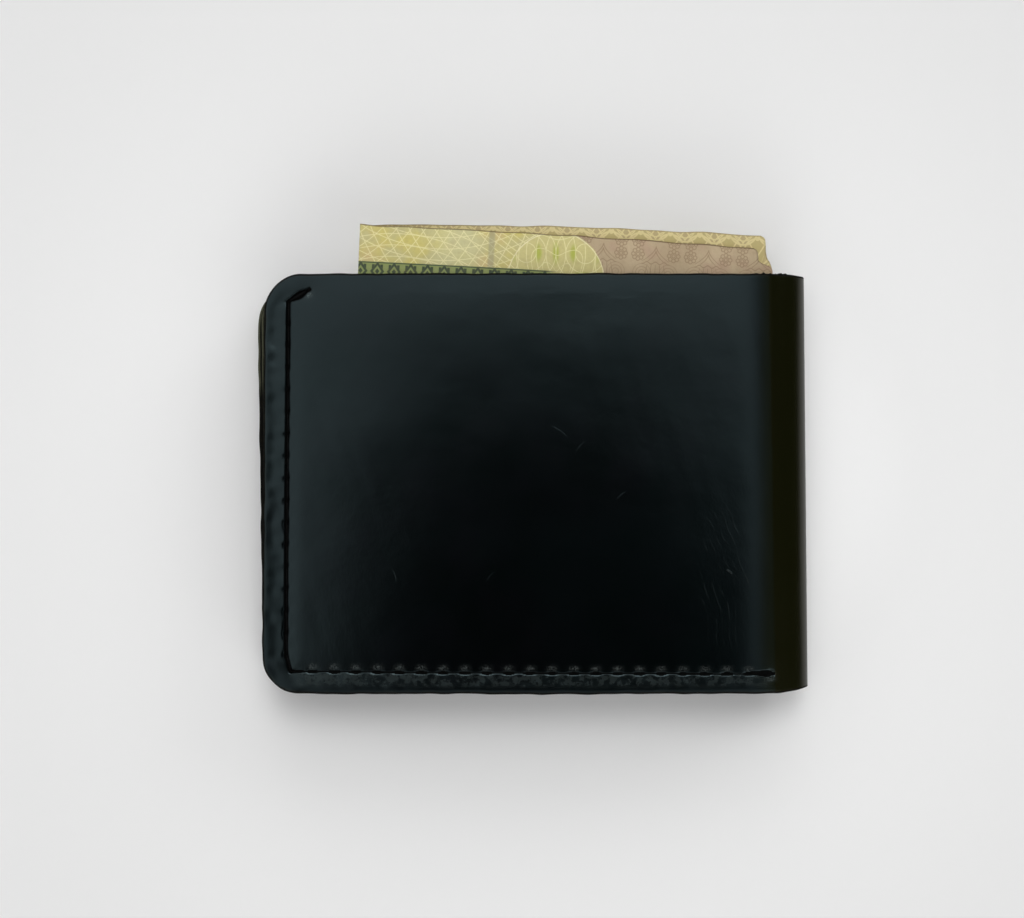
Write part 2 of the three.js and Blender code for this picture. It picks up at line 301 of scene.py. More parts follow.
def base_depth(half, s, y):
    free = BASE_DEPTH - settled(half, s)
    return free + (COVER + WALL + 0.04 - free) * sewn(half, s, y)


def body_under(index, s, y):
    """1 where the body of T-shaped pocket index lies under what covers it."""
    across = smooth(BODY_LEFT - 0.7, BODY_LEFT + 0.2, s) * fade(BODY_RIGHT - 0.2, BODY_RIGHT + 0.9, s)
    return across * smooth(BODY_FEET[index] - 0.8, BODY_FEET[index] + 0.2, y)


def pocket_depth(half, index, s, y):
    """Depth of card pocket index: on the base, over the bodies of the pockets above it, and slack in its
    middle."""
    slack = 0.18 * (index + 1) * smooth(BODY_LEFT, BODY_LEFT + 22, s) * fade(22, BODY_RIGHT, s)
    slack = slack * smooth(BOTTOM + 6, BOTTOM + 14, y)
    below = sum(body_under(i, s, y) for i in range(index)) if index else 0
    return base_depth(half, s, y) + BASE + 0.02 + (POCKET + 0.02) * below + slack


def inner_surface(half, s, y):
    """Depth of the innermost leather, where a stitch on the pockets' side lies."""
    s, y = np.broadcast_arrays(np.asarray(s, float), np.asarray(y, float))
    surface = wall_depth(half, s, y) + WALL
    on_base = (s < POCKET_RIGHT) & (y < BASE_TOP)
    surface = np.where(on_base, base_depth(half, s, y) + BASE, surface)
    for index, mouth in enumerate(MOUTHS):
        on_pocket = (s < POCKET_RIGHT) & (y < mouth)
        surface = np.where(on_pocket, pocket_depth(half, index, s, y) + POCKET, surface)
    return surface


# Meshes

CELL = 2  # lines of an outer face's grid to each cell of the coarser inner one
INKED_SHADE_MARGIN = 2.6  # width of the dark margin along the free edge of an inner face, painted shade for the gap between the halves


def quads(grid):
    """The four-sided cells of a grid of point numbers."""
    return np.stack([grid[:-1, :-1], grid[:-1, 1:], grid[1:, 1:], grid[1:, :-1]], -1)


def slab_faces(rows, columns, keep, open_right):
    """Faces of a slab: a fine outer grid, a coarser inner one, and walls where the kept cells end. Returns
    the faces and what each is: 0 outer, 1 wall, 2 inner."""
    outer = np.arange(rows * columns).reshape(rows, columns)
    inner_shape = (keep.shape[0] + 1, keep.shape[1] + 1)
    inner = rows * columns + np.arange(inner_shape[0] * inner_shape[1]).reshape(inner_shape)
    fine = np.repeat(np.repeat(keep, CELL, 0), CELL, 1)
    faces = quads(outer)[fine].tolist()
    kinds = [0] * len(faces)
    inside = quads(inner)[keep][:, ::-1].tolist()
    faces += inside
    kinds += [2] * len(inside)
    around = np.pad(keep, 1)
    for row, column in np.argwhere(keep):
        r, c = row * CELL, column * CELL
        r1, c1 = r + CELL, c + CELL
        if not around[row + 1, column]:
            faces.append([*outer[r : r1 + 1, c], inner[row + 1, column], inner[row, column]])
        if not around[row, column + 1]:
            faces.append([*outer[r, c : c1 + 1][::-1], inner[row, column], inner[row, column + 1]])
        if not around[row + 1, column + 2] and not open_right:
            faces.append([*outer[r : r1 + 1, c1][::-1], inner[row, column + 1], inner[row + 1, column + 1]])
        if not around[row + 2, column + 1]:
            faces.append([*outer[r1, c : c1 + 1], inner[row + 1, column + 1], inner[row + 1, column]])
    kinds += [1] * (len(faces) - len(kinds))
    return [[int(v) for v in face] for face in faces], kinds


def make_object(name, points, faces, materials, kinds=None, attributes=None):
    """A smooth-shaded object from points in millimetres."""
    mesh = bpy.data.meshes.new(name)
    used = np.unique(np.concatenate([np.array(face) for face in faces]))
    renumber = np.full(len(points), -1)
    renumber[used] = np.arange(len(used))
    mesh.from_pydata((points[used] * MM).tolist(), [], [[int(renumber[v]) for v in face] for face in faces])
    for material in materials:
        mesh.materials.append(MATERIALS[material])
    if kinds is not None:
        mesh.polygons.foreach_set("material_index", kinds)
    for key, values in (attributes or {}).items():
        values = np.asarray(values, np.float32)[used]
        if values.ndim == 2:
            mesh.attributes.new(key, "FLOAT_VECTOR", "POINT").data.foreach_set("vector", values.ravel())
        else:
            mesh.attributes.new(key, "FLOAT", "POINT").data.foreach_set("value", values)
    mesh.polygons.foreach_set("use_smooth", [True] * len(mesh.polygons))
    mesh.update()
    obj = bpy.data.objects.new(name, mesh)
    bpy.context.scene.collection.objects.link(obj)
    return obj


def leather_object(name, half, s, y, outer_depth, inner_depth, marks, keep, open_right, materials, rim=0):
    """A leather from its grid in sheet coordinates, the depths of its two faces, and marks for its material.
    The outer face looks like the cut edge within rim of it, and so does the inner face's margin along the
    free edge, whose dark look is painted shade for the gap between the halves. Where the mark "sunk" is
    high, the outer face has the fourth material, and round the spine the fifth."""
    shade_margin_end = half["bottom"] + INKED_SHADE_MARGIN
    brown_wear_reflection_start, lean = BROWN_WEAR_AND_REFLECTION
    points, sheet = [], []
    attributes = {key: [] for key in marks}
    for depth, every in ((outer_depth, 1), (inner_depth, CELL)):
        cut = (slice(None, None, every), slice(None, None, every))
        points.append(place(half, s[cut], y[cut], depth[cut]).reshape(-1, 3))
        sheet.append(np.stack([s[cut], y[cut], depth[cut] + half["seed"]], axis=-1).reshape(-1, 3))
        for key, grid in marks.items():
            attributes[key].append(grid[cut].ravel())
    faces, kinds = slab_faces(*s.shape, keep, open_right)
    edge = marks["edge"].ravel()
    sunk = marks.get("sunk", 0 * marks["edge"]).ravel()
    sheet = np.concatenate(sheet)
    along = sheet[:, 0]
    brown = along + lean * sheet[:, 1]
    for index, (face, kind) in enumerate(zip(faces, kinds)):
        # inner faces near the free edge take the dark edge material as painted shade for the gap between the
        # halves
        if (kind == 0 and edge[face].max() < rim) or (kind == 2 and along[face].max() < shade_margin_end):
            kinds[index] = 1
        # the groove material's dull dark look is painted shade for the deep groove
        elif kind == 0 and sunk[face].mean() > 0.25:
            kinds[index] = 3
        # round the spine the spine material's brown reflection tint is partly a painted warm reflection
        elif kind == 0 and len(materials) > 4 and brown[face].min() > brown_wear_reflection_start:
            kinds[index] = 4
    if not half["front"]:
        faces = [face[::-1] for face in faces]
    attributes = {"sheet": sheet, **{key: np.concatenate(parts) for key, parts in attributes.items()}}
    return make_object(name, np.concatenate(points), faces, materials, kinds, attributes)


# Leathers

INNER_MATERIALS = ("flesh", "edge", "pocket")


def slit(s, y, start, end, half_width):
    """1 inside a slit from start to end and 0 outside it. half_width is a function of the share of the way
    along."""
    along, across, length = line_axes(s, y, start, end)
    width = half_width(np.clip(along / length, 0, 1))
    beyond = np.abs(along - length / 2) - length / 2
    return fade(0.75, 1.2, np.abs(across) / width) * fade(0.0, 0.35, beyond)


def first_stitch_slit(half, s, y):
    corners = seam_corners(half)
    return slit(s, y, corners[1], corners[0], lambda t: 0.22 + 0.50 * np.sin(math.pi * t**1.3))


def back_tack(s, y):
    """The wedge that the doubled last stitches press into the leather."""
    start, end = (42.6, SEAM_END[1] + 0.25), (47.2, SEAM_END[1])
    return slit(s, y, start, end, lambda t: (0.22 + 0.62 * t) * np.sqrt(1.03 - t**8))


def ragged(half, s, y, edge, size):
    """Small unevenness of a cut edge, gone a little way in."""
    near = bell(edge, 1.2) * fade(SPINE_END - 2, SPINE_END, s)
    return (
        size * near * waves(s, y, 6, half["seed"] + 1),
        size * near * waves(s, y, 6, half["seed"] + 2),
    )


def stitch_marks(half, s, y):
    """Where the stitches pull the leather in, where they lie as dashes, and where it is rubbed beside them,
    with painted highlights on the puckered leather there."""
    holes = stitch_holes(seam_corners(half), STITCHES)
    pulled, dashes, rub_and_highlight = (np.zeros_like(s) for _ in range(3))
    for hole, after in zip(holes, [*holes[1:], holes[-2]]):
        along, across, _ = line_axes(s, y, hole, after)
        pulled += bell(along + 0.5 * across, 0.7) * bell(across, 1.2)
        dashes += fade(0.7, 1.15, np.abs(along)) * fade(0.18, 0.42, np.abs(across))
        rub_and_highlight += bell(along, 0.85) * bell(across - 1.0, 0.48)
    return pulled, dashes, rub_and_highlight


def border_relief(half, s, y, edge, on_side):
    """Depths of the border between seam and edge: worn along the bottom, hollow at the side, and uneven."""
    seed = half["seed"]
    up_to_spine = fade(44, 50, s)
    border = (edge < EDGE_TO_SEAM) * fade(SEAM_TOP - 1, SEAM_TOP + 3, y) * up_to_spine
    worn = fade(0, 1.6, edge) ** 2 * (1 - on_side) * (y < 0) * up_to_spine
    hollow = smooth(0.5, 2.1, edge) * fade(2.3, EDGE_TO_SEAM, edge) * on_side
    hollow = hollow * (0.4 + 0.6 * smooth(-26, -8, y)) * (1 + 0.3 * waves(s, y, 14, seed + 4))
    ripples = 0.024 * waves(s, y, 3.2, seed + 5) * bell(edge - 2.4, 1.6)
    ripples += 0.034 * waves(s, y, 8.0, seed + 9) * bell(edge - 2.0, 1.9)
    return 0.16 * worn + (0.11 * hollow + ripples) * border


def cover_relief(half, s, y, edge, seam):
    """How far the cover's outer face is pressed in, where it is rubbed beside the stitches, with painted
    highlights there, and where it is sunk below them."""
    seed = half["seed"]
    side_seam = seam_corners(half)[2][0]
    on_side = fade(side_seam + 1, side_seam + 5, s)
    pulled, dashes, rub_and_highlight = stitch_marks(half, s, y)
    dashes *= 1 - on_side
    rub_and_highlight *= 1 - on_side

    groove_width = (0.13 + 0.23 * on_side) * (1 + 0.12 * waves(s, y, 5, seed + 3)) + 0.10 * on_side * pulled
    groove = fade(0.35, 1.15, seam / groove_width)
    press = rounding(edge, 0.14) + border_relief(half, s, y, edge, on_side)
    press += (0.08 + 0.56 * on_side) * groove + 0.07 * bell(seam, 2.0)
    press += 0.24 * dashes + 0.03 * pulled
    first, tack = first_stitch_slit(half, s, y), back_tack(s, y)
    sunk = np.maximum.reduce([first, tack * 0.9, dashes, groove])
    press = np.maximum.reduce([press, 0.75 * first, 0.28 * tack])
    ring_beyond_tack = bell(np.hypot(s - 46.9, y - SEAM_END[1] + 0.1) - 0.8, 0.22)
    press += 0.07 * ring_beyond_tack

    free = smooth(2, 12, edge) * fade(SPINE_END - 6, SPINE_END, s)
    for height, length, number in ((0.030, 34, 6), (0.006, 13, 7), (0.002, 5, 8)):
        press += height * free * waves(s, y, length, seed + number)
    return press, np.clip(rub_and_highlight, 0, 1), sunk


def leather_grid(left, right, foot, top, radii, steps, fine_s, fine_y, cut_right=False):
    """A grid over a leather, its points' distances from the cut edge, and its cells, all kept."""
    s, y = np.meshgrid(lines(left, right, steps[0], fine_s), lines(foot, top, steps[1], fine_y))
    s, y = round_corners(s, y, left, foot, top, radii)
    edge = edge_distance(s, y, left, foot, top, radii, right if cut_right else math.inf)
    return s, y, edge, np.ones([count // CELL for count in s.shape], bool)


def near_holes(places):
    """Finer grid lines across each stitch hole."""
    return [(place - 0.5, place + 0.5, 0.22) for place in places]


def build_cover(name, half):
    """The outer leather of a half, on to the middle of the spine."""
    corners = seam_corners(half)
    holes = stitch_holes(corners, STITCHES)
    left = half["bottom"]
    side_seam = left + EDGE_TO_SEAM
    fine_s = [(left, left + 0.9, 0.18), (side_seam - 1, side_seam + 1, 0.2), (40, 54, 0.24)]
    fine_s += [(SPINE_X - 2, SPINE_END - 0.8, 0.4), (SPINE_END - 0.8, SPINE_END + 1, 0.12)]
    fine_s += [(corners[1][0] - 0.8, corners[0][0] + 0.6, 0.2)]
    fine_s += near_holes(x for x, _ in holes[-STITCHES[3] :])
    fine_y = [(BOTTOM, BOTTOM + 0.9, 0.18), (SEAM_BOTTOM - 1.7, SEAM_BOTTOM + 0.8, 0.16)]
    fine_y += [(TOP - 0.9, TOP, 0.18), (SEAM_TOP - 0.6, SEAM_TOP + 3, 0.2)]
    fine_y += near_holes(y for _, y in holes[: STITCHES[1] + 3])
    radii = {"bottom": BOTTOM_CORNER, "top": half["corner"]}
    s, y, edge, keep = leather_grid(left, SPINE_END, BOTTOM, TOP, radii, (0.56, 0.46), fine_s, fine_y)
    s = lean_left(half, s, y)
    seam = path_distance(s, y, corners)
    press, rub_and_highlight, sunk = cover_relief(half, s, y, edge, seam)
    shift_s, shift_y = ragged(half, s, y, edge, 0.07)
    s = s + shift_s
    y = y + shift_y
    fringe = np.clip(waves(s, 0 * s, 1.2, half["seed"] + 12) - 0.1, 0, 1.2)
    y = y + 0.26 * fringe * smooth(39, 45, s) * fade(52, 56, s) * bell(edge, 0.35) * (y > 0)
    worn = smooth(SPINE_X, SPINE_END, s)
    y = np.where(y < 0, y + 0.9 * worn * smooth(0, BOTTOM, y), y - 0.25 * worn * smooth(0, TOP, y))
    inside = COVER - rounding(edge, 0.3)
    materials = ("cover", "edge", "flesh", "groove", "spine")
    marks = {"edge": edge, "sunk": sunk, "rub_and_highlight": rub_and_highlight}
    return leather_object(name, half, s, y, press, inside, marks, keep, True, materials, rim=0.40)


def build_wall(name, half):
    """The leather between the bills and the cards, on to the middle of the spine."""
    left = half["bottom"] + half["inset"]
    radii = {"bottom": BOTTOM_CORNER, "top": half["corner"] - 3.5}
    fine_s = [(left, left + 0.6, 0.15), (SPINE_X - 2, SPINE_END - 0.8, 0.6)]
    fine_s += [(SPINE_END - 0.8, SPINE_END + 1, 0.2)]
    fine_y = [(BOTTOM, BOTTOM + 0.6, 0.15), (WALL_TOP - 2.2, WALL_TOP, 0.2)]
    s, y, edge, keep = leather_grid(left, SPINE_END, BOTTOM, WALL_TOP, radii, (1.1, 1.1), fine_s, fine_y)
    s = lean_left(half, s, y)
    free = (1 - sewn(half, s, y)) * fade(SPINE_END - 8, SPINE_END, s)
    depth = wall_depth(half, s, y) + 0.05 * waves(s, y, 22, half["seed"] + 11) * free
    crease = 0.12 * bell(WALL_TOP - 1.5 - y, 0.22)
    outer = depth + rounding(edge, 0.3)
    inner = depth + WALL - rounding(edge, 0.3) - crease
    seam = path_distance(s, y, seam_corners(half))
    marks = {"edge": edge, "seam": seam}
    return leather_object(name, half, s, y, outer, inner, marks, keep, True, INNER_MATERIALS)


def build_pocket_sheet(name, half, top, depth, thickness, body=None):
    """A leather of the card pockets. body is (foot of the arms, foot of the body) of a T-shaped one."""
    left = half["bottom"] + half["inset"] + 0.1
    right = POCKET_RIGHT
    floor = BOTTOM if body is None else body[1]
    radii = {"bottom": BOTTOM_CORNER if floor == BOTTOM else 1.0, "top": 0.8}
    fine_s = [(left, left + 0.6, 0.15), (right - 0.6, right, 0.15), (BODY_LEFT - 1, BODY_LEFT + 1, 0.25)]
    seam_s = POCKET_SEAM[0][0]
    fine_s += [(BODY_RIGHT - 0.5, BODY_RIGHT + 1.2, 0.25), (seam_s - 0.8, seam_s + 0.8, 0.25)]
    fine_s += [(left + 3.6, left + 5.0, 0.25)]
    fine_y = [(floor, floor + 0.6, 0.15), (top - 1.9, top, 0.15)]
    fine_y += [(under - 1.0, under + 0.4, 0.3) for under in BODY_FEET]
    s, y, edge, keep = leather_grid(left, right, floor, top, radii, (1.0, 1.0), fine_s, fine_y, True)
    if body is not None:
        s_mid, y_mid = ((grid[:-1:CELL, :-1:CELL] + grid[CELL::CELL, CELL::CELL]) / 2 for grid in (s, y))
        keep = (y_mid > body[0]) | ((s_mid > BODY_LEFT) & (s_mid < BODY_RIGHT))
    s = lean_left(half, s, y)
    seam = np.minimum(path_distance(s, y, seam_corners(half)), path_distance(s, y, POCKET_SEAM))
    level = depth(s, y) + 0.03 * waves(s, y, 18, half["seed"] + int(top * 3)) * smooth(1, 8, edge)
    crease = 0.13 * bell(top - 1.4 - y, 0.2)
    outer = level + rounding(edge, 0.22)
    inner = level + thickness - rounding(edge, 0.22) - crease - 0.12 * bell(seam, 0.45)
    marks = {"edge": edge, "seam": seam}
    return leather_object(name, half, s, y, outer, inner, marks, keep, False, INNER_MATERIALS)


def build_threads(name, half, holes, lie_out, lie_in, doubled=()):
    """The stitches of one seam on both sides of the leather."""
    points, faces, sheet, runs = [], [], [], []
    for number, (start, end) in enumerate(zip(holes, holes[1:])):
        ahead = (end - start) / np.linalg.norm(end - start)
        slant = 0.10 * np.array([-ahead[1], ahead[0]])
        runs.append(stitch_centres(start - slant, end + slant, lie_out, 0.75))
        runs.append(stitch_centres(start + slant, end - slant, lie_in, -0.6))
        if number in doubled:
            runs.append(stitch_centres(start + [0.2, 0.32], end + [-0.3, -0.3], lie_out, 0.75))
    count = 0
    for run in runs:
        rings = twisted(run, THREAD_R)
        ring_count, sides = rings.shape[:2]
        flat = rings.reshape(-1, 3)
        points.append(place(half, flat[:, 0], flat[:, 1], flat[:, 2]))
        length = np.linspace(0, ring_count * 0.2, ring_count)
        turn = np.linspace(0, 2 * math.pi, sides, endpoint=False)
        along_and_round = np.broadcast_arrays(length[:, None], turn[None, :], count * 0.37)
        sheet.append(np.stack(along_and_round, -1).reshape(-1, 3))
        index = count + np.arange(ring_count * sides).reshape(ring_count, sides)
        faces += quads(np.hstack([index, index[:, :1]])).reshape(-1, 4).tolist()
        faces += [index[0][::-1].tolist(), index[-1].tolist()]
        count += ring_count * sides
    if half["front"]:
        faces = [face[::-1] for face in faces]
    attributes = {"sheet": np.concatenate(sheet)}
    return make_object(name, np.concatenate(points), faces, ["thread"], None, attributes)


# Banknote

NOTE_HEIGHT = 70
NOTE_FOLD = (-36.0, 52.6)  # top of the fold
NOTE_FOLD_LEAN = math.radians(2.45)
NOTE_LEAVES = {  # lean and bow of the top edge, its right end, where the right edge starts and stops flaring
    "outer": (math.radians(3.41), 0.25, 45.2, 2.3, 4.6),
    "inner": (math.radians(1.55), 0.65, 46.8, 4.2, 6.9),
}
NOTE_FLARED = 48.9
NOTE_RIGHT = 47.2
NOTE_DEPTHS = {"outer": 2.15, "inner": 2.75}
NOTE_THICKNESS = 0.12


def note_leaf(which, along, down):
    """Points of a leaf. along is 0 at the fold and 1 at the right edge, down is millimetres below its top."""
    lean, bow, corner, flare_start, flare_end = NOTE_LEAVES[which]
    leaning = NOTE_FOLD_LEAN + (lean - NOTE_FOLD_LEAN) * along
    length = (corner - NOTE_FOLD[0]) / math.cos(lean)
    right = corner + (NOTE_FLARED - corner) * smooth(flare_start, flare_end, down)
    right = right - (NOTE_FLARED - NOTE_RIGHT) * smooth(9, 16, down)
    right = right - 1.1 * np.clip(1 - down / 1.1, 0, 1) ** 3
    flare = (right - corner + np.sin(lean) * down) * smooth(0.88, 1, along)
    rough = 0.12 * waves(down, down * 0, 3, 5) * smooth(0.97, 1, along)
    x = NOTE_FOLD[0] + along * length * math.cos(lean) - down * np.sin(leaning) + flare + rough
    y = NOTE_FOLD[1] - along * length * math.sin(lean) - down * np.cos(leaning)
    y = y + bow * np.sin(math.pi * along)
    y = y + 0.10 * waves(along * 80, along * 0, 9, 3 if which == "outer" else 4) * bell(down, 0.6)
    out = smooth(TOP - 1, TOP + 10, y)
    lift = 0.12 * smooth(0.80, 1.0, along) * out + 0.06 * out * waves(x, y, 26, 8)
    lift = lift + 0.15 * smooth(0.93, 1.0, along) * bell(down, 4.0)
    if which == "outer":
        lift = lift - 0.22 * smooth(0.90, 1.0, along) * (1 - out)
    toward_fold = NOTE_DEPTHS["outer"] * 0.5 + NOTE_DEPTHS["inner"] * 0.5
    depth = toward_fold + (NOTE_DEPTHS[which] - toward_fold) * np.sqrt(np.clip(along * length / 0.6, 0, 1))
    return x, y, depth - lift


def build_banknote(name, half):
    """A sheet folded once, as one closed strip of two leaves joined at the fold."""
    fold_steps = np.array([0, 0.0006, 0.0015, 0.003, 0.0045, 0.0065, 0.009])
    along = np.concatenate([fold_steps, np.linspace(0.015, 1, 150)])
    down = np.concatenate([np.linspace(0, 14, 48), np.linspace(15, NOTE_HEIGHT, 34)])
    strips = []
    for which in ("outer", "inner"):
        a, d = np.meshgrid(along, down)
        x, y, depth = note_leaf(which, a, d)
        lean = NOTE_LEAVES[which][0]
        long = (x - NOTE_FOLD[0]) / math.cos(lean) + d * math.tan(lean)
        sheet_u = long if which == "outer" else -long
        strips.append((x, y, depth, sheet_u, d))
    inner_strip = [part[:, :0:-1] for part in strips[1]]
    x, y, depth, sheet_u, sheet_v = (np.concatenate([b, a], axis=1) for a, b in zip(strips[0], inner_strip))
    points = place(half, x, y, depth)
    points[..., 2] += crowned(half, x, y) - crowned(half, x, np.minimum(y, TOP - 5))
    d_along = np.gradient(points, axis=1)
    d_down = np.gradient(points, axis=0)
    normal = np.cross(d_down, d_along)
    normal /= np.linalg.norm(normal, axis=-1)[..., None]
    rows, columns = x.shape
    outside = points + normal * NOTE_THICKNESS / 2
    inside = points - normal * NOTE_THICKNESS / 2
    index = np.arange(rows * columns).reshape(rows, columns)
    other = index + rows * columns
    ends = ((index[:, 0], other[:, 0]), (other[:, -1], index[:, -1]))
    sides = ((other[0], index[0]), (index[-1], other[-1]))
    walls = np.concatenate([quads(np.stack(pair))[0] for pair in (*ends, *sides)])
    printed, back = (quads(grid.T).reshape(-1, 4) for grid in (index, other))
    faces = [*printed[:, ::-1].tolist(), *back.tolist(), *walls[:, ::-1].tolist()]
    kinds = [0] * len(printed) + [1] * (len(faces) - len(printed))
    sheet = np.stack([sheet_u, NOTE_HEIGHT - sheet_v, np.zeros_like(sheet_u)], -1).reshape(-1, 3)
    attributes = {"sheet": np.concatenate([sheet, sheet])}
    all_points = np.concatenate([outside.reshape(-1, 3), inside.reshape(-1, 3)])
    return make_object(name, all_points, faces, ["note", "note_back"], kinds, attributes)


# Materials

class Signal:
    """A number in a node tree, so that patterns can be written as formulas."""

    def __init__(self, graph, socket):
        self.graph = graph
        self.socket = socket

    def math(self, operation, *others):
        return self.graph.math(operation, self, *others)

    def __add__(self, other):
        return self.math("ADD", other)

    def __sub__(self, other):
        return self.math("SUBTRACT", other)

    def __rsub__(self, other):
        return self.graph.math("SUBTRACT", other, self)

    def __mul__(self, other):
        return self.math("MULTIPLY", other)

    def __truediv__(self, other):
        return self.math("DIVIDE", other)

    __radd__ = __add__
    __rmul__ = __mul__

    def abs(self):
        return self.math("ABSOLUTE")

    def sin(self):
        return self.math("SINE")

    def cos(self):
        return self.math("COSINE")

    def most(self, other):
        return self.math("MAXIMUM", other)

    def ramp(self, low, high):
        """0 below low, 1 above high, smooth between them; low may be the larger."""
        inputs = {"Value": self, "From Min": low, "From Max": high}
        socket = self.graph.add("MapRange", "Result", inputs, interpolation_type="SMOOTHSTEP")
        return Signal(self.graph, socket)

    def line(self, width):
        """1 where the number is near 0, within a width, and 0 away from it."""
        return self.abs().ramp(width, width * 0.4)


class Graph:
    """The node tree of a material or a world, with short calls for the nodes used here."""

    def __init__(self, owner, coordinates=None):
        """coordinates is an output of the texture coordinate node, or None for the mesh's own sheet."""
        owner.use_nodes = True
        self.owner = owner
        self.tree = owner.node_tree
        if coordinates:
            self.vector = self.add("TexCoord", coordinates, {})
        else:
            self.vector = self.add("Attribute", "Vector", {}, attribute_name="sheet")
        self.axes = [Signal(self, self.add("SeparateXYZ", axis, {0: self.vector})) for axis in "XYZ"]

    def add(self, kind, output, inputs, **settings):
        """A new node, with values or other nodes' outputs for its inputs. Gives one of its outputs."""
        node = self.tree.nodes.new("ShaderNode" + kind)
        for key, value in settings.items():
            setattr(node, key, value)
        for key, value in inputs.items():
            self.join(value, node.inputs[key])
        return node.outputs[output]

    def join(self, value, socket):
        if isinstance(value, Signal):
            self.tree.links.new(value.socket, socket)
        elif hasattr(value, "is_output"):
            self.tree.links.new(value, socket)
        else:
            socket.default_value = value

    def math(self, operation, *values):
        return Signal(self, self.add("Math", 0, dict(enumerate(values)), operation=operation))

    def number(self, name):
        """A number that the mesh carries."""
        return Signal(self, self.add("Attribute", "Fac", {}, attribute_name=name))

    def noise(self, scale, detail=3.0, roughness=0.5, stretch=None):
        vector = self.vector
        if stretch:
            vector = self.add("VectorMath", 0, {0: vector, 1: stretch}, operation="MULTIPLY")
        inputs = {"Vector": vector, "Scale": scale, "Detail": detail, "Roughness": roughness}
        return Signal(self, self.add("TexNoise", "Fac", inputs))

    def cells(self, scale, feature="F1"):
        inputs = {"Vector": self.vector, "Scale": scale}
        return Signal(self, self.add("TexVoronoi", "Distance", inputs, feature=feature))

    def mix(self, share, low, high):
        """A colour between two colours."""
        low, high = ((*value, 1) if isinstance(value, tuple) else value for value in (low, high))
        return self.add("Mix", 2, {"Factor": share, 6: low, 7: high}, data_type="RGBA")

    def finished(self, colour, roughness, specular, height=None, **others):
        """The material, with a bump of a height in millimetres."""
        sockets = {"Base_Color": colour, "Roughness": roughness, "Specular_IOR_Level": specular, **others}
        if height is not None:
            sockets["Normal"] = self.add("Bump", 0, {"Height": height, "Distance": MM})
        for name, value in sockets.items():
            self.join(value, self.tree.nodes["Principled BSDF"].inputs[name.replace("_", " ")])
        return self.owner


def material_graph(name, coordinates=None):
    return Graph(bpy.data.materials.new(name), coordinates)


def between(low, high, share):
    return share * (high - low) + low


def highest(signals):
    return reduce(Signal.most, signals)


SCRATCHES = [  # from, to, width, strength
    ((-29.2, -17.0), (-28.3, -19.9), 0.10, 0.35),
    ((-10.8, -20.0), (-8.4, -17.2), 0.10, 0.25),
    ((2.6, 12.0), (6.4, 9.4), 0.09, 0.3),
    ((15.4, -3.4), (18.0, -1.2), 0.09, 0.3),
    ((7.2, 6.1), (9.6, 8.9), 0.07, 0.25),
    ((38.0, -17.2), (39.4, -18.3), 0.30, 0.7),
    ((41.7, -17.9), (42.9, -21.0), 0.12, 0.5),
]


def scratch(s, y, start, end, width):
    """A thin scratch from start to end, fading at both ends."""
    along, across, length = line_axes(s, y, start, end)
    middle = (along - length / 2) / (length / 2)
    bowed = across + middle * middle * (0.08 * length)
    return bowed.line(width) * middle.abs().ramp(1.0, 0.4)


def fan_of_creases(graph, s, y):
    """Fine creases that spread downwards, near the spine."""
    fan_s = s + (y + 3) * 0.27 + (y + 20) * (y + 20) * 0.0045
    strand = graph.noise(0.5, 2.0, stretch=(1.0, 0.12, 1.0))
    creases = ((fan_s + graph.noise(0.09, 2.0) * 4) * 4.6 + strand * 5).sin().ramp(0.78, 1.0)
    inside = (((s - 37.5) / 6.5).math("POWER", 2.0) + ((y + 19) / 17).math("POWER", 2.0)).ramp(1.0, 0.3)
    return creases * inside * graph.noise(0.35).ramp(0.40, 0.66)


